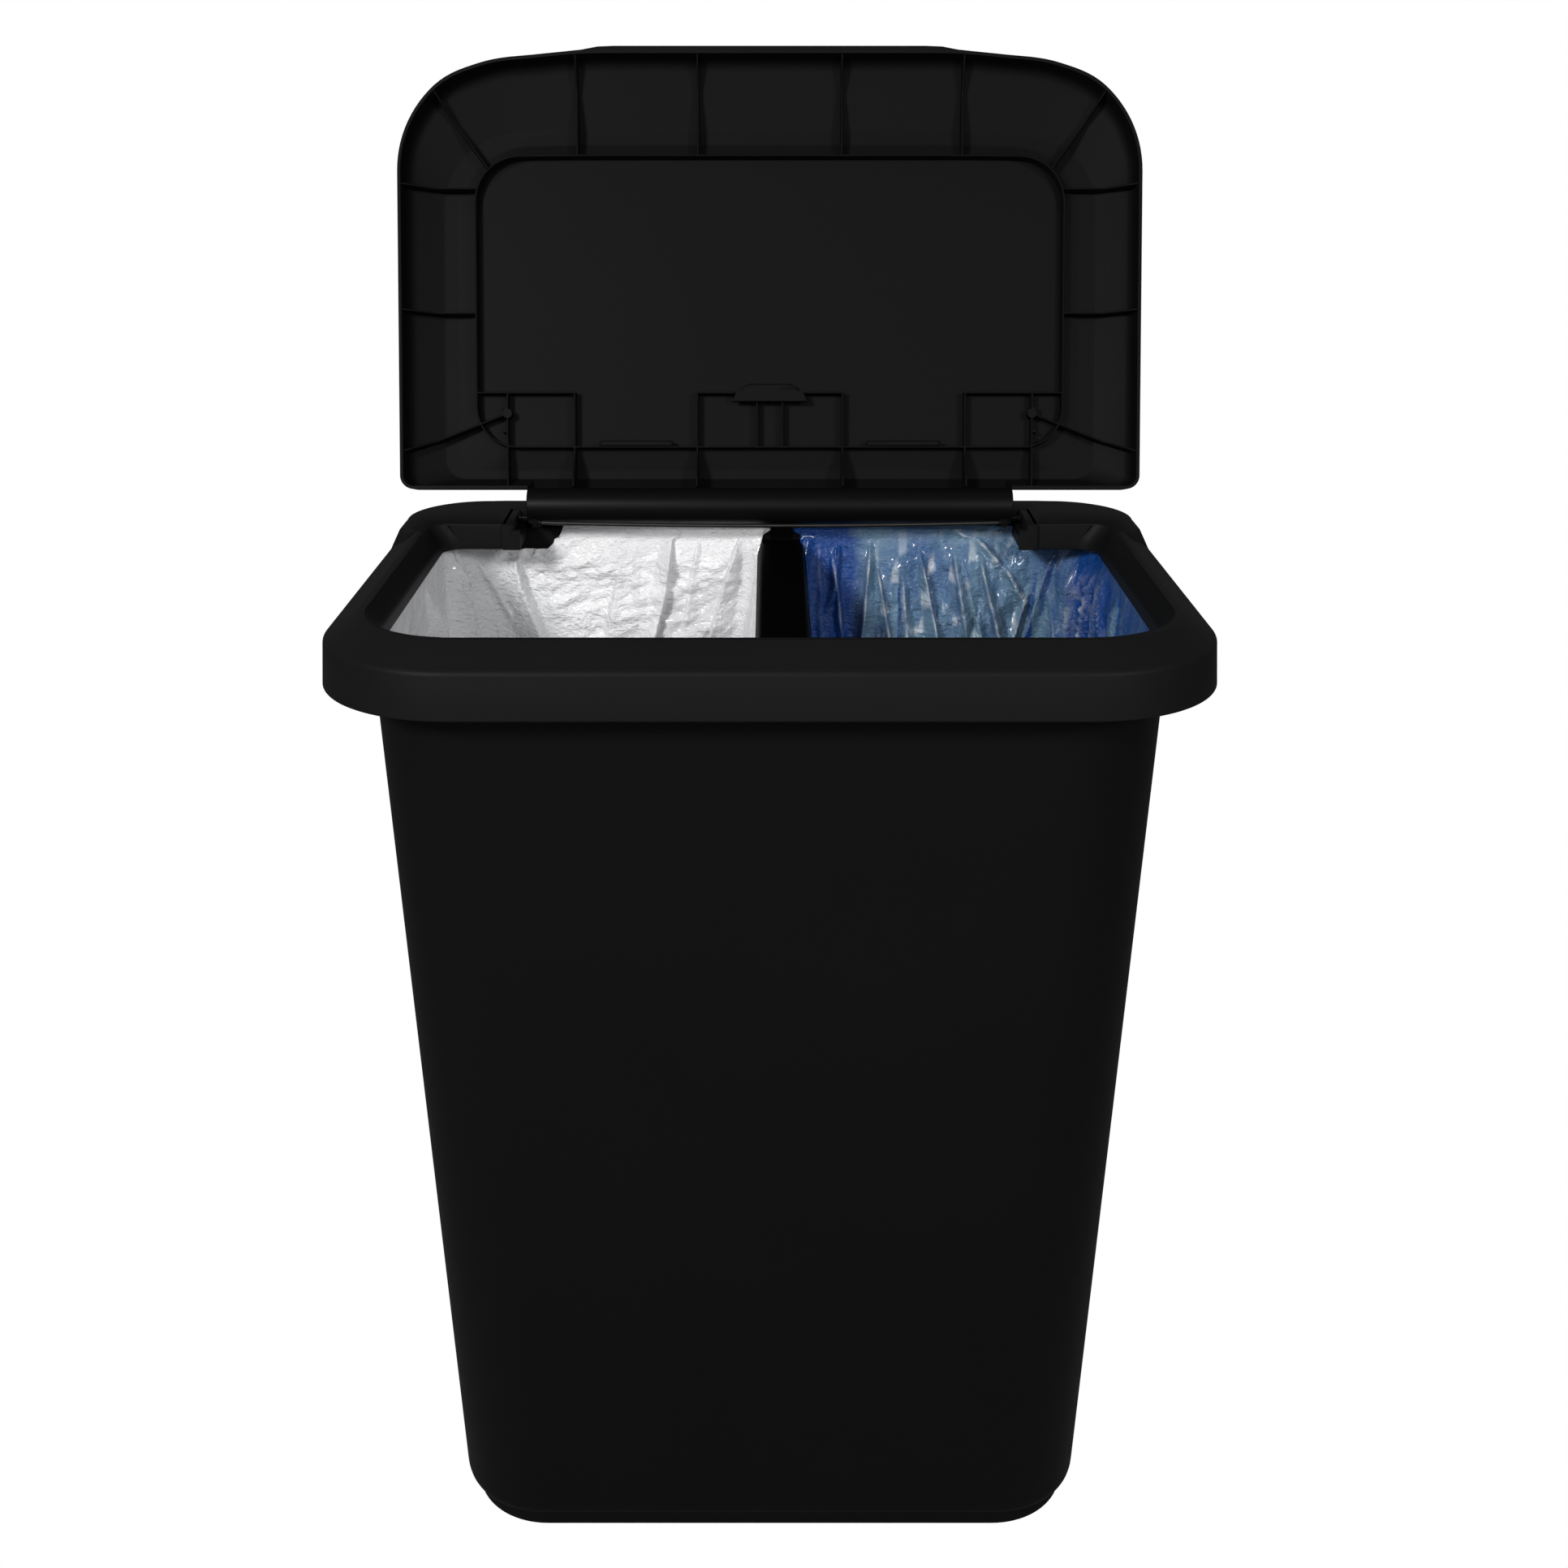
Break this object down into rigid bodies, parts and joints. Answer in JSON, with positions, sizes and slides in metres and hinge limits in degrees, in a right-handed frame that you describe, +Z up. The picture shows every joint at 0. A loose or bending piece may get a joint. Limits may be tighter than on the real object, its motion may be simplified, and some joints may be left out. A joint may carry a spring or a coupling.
{
  "type": "double recycling bin",
  "caption": "Tapered plastic recycling bin with two film-lined compartments, a hollow divider, a lift-off collar and a ribbed hinged lid, stored with the lid open.",
  "frame": {"origin": "middle of the flat base, on the floor", "axes": "+Z up, +X to the right as the bin is seen from the front, +Y to the back where the hinge is"},
  "size_m": [0.555, 0.4631, 1.0193],
  "materials": {
    "tub_plastic": "fine satin grain, black",
    "divider_plastic": "satin, black",
    "film_white": "crumpled translucent film, greyish white",
    "film_blue": "crumpled translucent film, blue",
    "collar_plastic": "fine satin grain, black",
    "pin_plastic": "smooth satin, black",
    "lid_plastic": "fine satin grain, black",
    "barrel_plastic": "smooth satin, black",
    "rod_steel": "drawn wire, darkened"
  },
  "bodies": {
    "bin": {"body_tub": "tub_plastic", "divider_panel": "divider_plastic", "liner_white": "film_white", "liner_blue": "film_blue"},
    "collar": {"collar_frame": "collar_plastic", "hinge_pin_left": "pin_plastic", "hinge_pin_right": "pin_plastic"},
    "lid": {"lid_shell": "lid_plastic", "hinge_barrel": "barrel_plastic", "hinge_rod": "rod_steel", "rod_clip_left": "pin_plastic", "rod_clip_right": "pin_plastic", "rod_ring_left": "pin_plastic", "rod_ring_right": "pin_plastic"}
  },
  "joints": [
    {"name": "collar_lift", "type": "slide", "parent": "bin", "child": "collar", "axis": [0, 0, 1], "range_m": [0, 0.06]},
    {"name": "lid_hinge", "type": "hinge", "parent": "collar", "child": "lid", "pos_m": [0, 0.1487, 0.6907], "axis": [1, 0, 0], "range_deg": [0, 108.9]}
  ]
}
